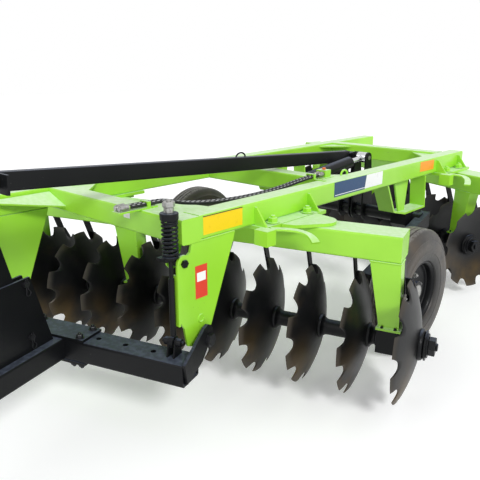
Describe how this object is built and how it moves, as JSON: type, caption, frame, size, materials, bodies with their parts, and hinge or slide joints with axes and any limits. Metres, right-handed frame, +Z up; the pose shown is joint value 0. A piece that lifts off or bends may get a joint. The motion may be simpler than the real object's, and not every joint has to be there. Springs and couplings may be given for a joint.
{
  "type": "disc_harrow",
  "caption": "Heavy trailed offset disc harrow with two gangs of notched discs under a green box-tube frame, black drawbar and transport wheels.",
  "frame": {"origin": "centre of the drawbar's hitch bore", "axes": "+X to the machine's left, +Y from the hitch to the rear, +Z up"},
  "size_m": [2.8803, 6.1909, 1.365],
  "materials": {
    "green_paint": "gloss",
    "black_paint": "satin",
    "disc_steel": "satin",
    "tyre_rubber": "matte",
    "chrome_rod": "polished",
    "plated_steel": "satin"
  },
  "bodies": {
    "frame": {"left_side_beam": "green_paint", "right_side_beam": "green_paint", "front_cross_beam": "green_paint", "mid_cross_beam": "green_paint", "rear_cross_beam": "green_paint", "beam_end_caps": "green_paint", "corner_gussets": "green_paint", "front_gusset": "green_paint", "left_front_leg": "green_paint", "right_front_leg": "green_paint", "trunnion_ear": "green_paint", "rod_trunnion": "black_paint", "front_gang_beam": "green_paint", "front_gang_legs": "green_paint", "front_gang_bearings": "black_paint", "front_gang_scrapers": "black_paint", "front_gang_saddles": "green_paint", "rear_gang_beam": "green_paint", "rear_gang_legs": "green_paint", "rear_gang_bearings": "black_paint", "rear_gang_scrapers": "black_paint", "rear_gang_saddles": "green_paint", "axle_hangers": "green_paint", "axle_bearings": "black_paint", "cylinder_anchor": "green_paint", "hoses": "black_paint", "hose_clips": "green_paint"},
    "front_gang": {"front_gang_discs": "disc_steel", "front_gang_spools": "black_paint"},
    "rear_gang": {"rear_gang_discs": "disc_steel", "rear_gang_spools": "black_paint"},
    "axle": {"rockshaft": "black_paint", "lift_levers": "black_paint", "lever_pins": "plated_steel"},
    "left_wheel": {"left_tyre": "tyre_rubber", "left_rim": "black_paint", "left_hub": "black_paint"},
    "right_wheel": {"right_tyre": "tyre_rubber", "right_rim": "black_paint", "right_hub": "black_paint"},
    "drawbar": {"crossbar": "black_paint", "drawbar_ears": "black_paint", "hinge_pins": "plated_steel", "tongue": "black_paint", "hitch_head": "black_paint", "tongue_clamps": "black_paint", "mast_plates": "black_paint", "mast_head": "black_paint", "mast_pins": "plated_steel", "rod_lug": "black_paint", "stand_sleeve": "black_paint"},
    "stand": {"stand_leg": "black_paint"},
    "top_link": {"top_beam": "black_paint", "top_beam_fork": "black_paint", "top_beam_eye": "black_paint"},
    "level_rod": {"levelling_rod": "black_paint", "levelling_spring": "black_paint"},
    "cylinder": {"cylinder_barrel": "black_paint"},
    "ram": {"cylinder_rod": "chrome_rod"}
  },
  "joints": [
    {"name": "front_gang_spin", "type": "hinge", "parent": "frame", "child": "front_gang", "pos_m": [0.82232, 3.02377, 0.0075], "axis": [0.9568, 0.2907, 0], "continuous": true},
    {"name": "rear_gang_spin", "type": "hinge", "parent": "frame", "child": "rear_gang", "pos_m": [0.31832, 4.96277, 0.0075], "axis": [0.9272, -0.3746, 0], "continuous": true},
    {"name": "wheel_lift", "type": "hinge", "parent": "frame", "child": "axle", "pos_m": [-0.55168, 4.42477, 0.2875], "axis": [1, 0, 0], "range_deg": [-20, 0]},
    {"name": "left_wheel_spin", "type": "hinge", "parent": "axle", "child": "left_wheel", "pos_m": [0.42832, 3.69477, 0.0075], "axis": [1, 0, 0], "continuous": true},
    {"name": "right_wheel_spin", "type": "hinge", "parent": "axle", "child": "right_wheel", "pos_m": [-1.53168, 3.69477, 0.0075], "axis": [1, 0, 0], "continuous": true},
    {"name": "drawbar_pitch", "type": "hinge", "parent": "frame", "child": "drawbar", "pos_m": [0.07232, 2.19477, 0.0945], "axis": [0.9511, 0.309, 0], "range_deg": [-10.8, 0]},
    {"name": "top_link_pivot", "type": "hinge", "parent": "axle", "child": "top_link", "pos_m": [-0.49668, 4.40477, 0.7095], "axis": [0.9986, 0, -0.0536], "range_deg": [0, 17.77]},
    {"name": "level_rod_slide", "type": "slide", "parent": "frame", "child": "level_rod", "axis": [0, 0, 1], "range_m": [-0.00001, 0.02767], "deforming": ["levelling_spring"]},
    {"name": "cylinder_pivot", "type": "hinge", "parent": "frame", "child": "cylinder", "pos_m": [-0.37668, 3.56477, 0.6275], "axis": [1, 0, 0], "range_deg": [-1.65, 0]},
    {"name": "ram_slide", "type": "slide", "parent": "cylinder", "child": "ram", "axis": [0, 0.9953, 0.0972], "range_m": [-0.00001, 0.14463]},
    {"name": "stand_slide", "type": "slide", "parent": "drawbar", "child": "stand", "axis": [0, 0, 1], "range_m": [0, 0.25]}
  ],
  "couplings": [
    {"joint": "drawbar_pitch", "follows": "wheel_lift", "ratio": 0.54},
    {"joint": "top_link_pivot", "follows": "wheel_lift", "ratio": -0.88822},
    {"joint": "level_rod_slide", "follows": "wheel_lift", "m_per_rad": -0.079236},
    {"joint": "cylinder_pivot", "follows": "wheel_lift", "ratio": 0.082651},
    {"joint": "ram_slide", "follows": "wheel_lift", "m_per_rad": -0.41429}
  ]
}
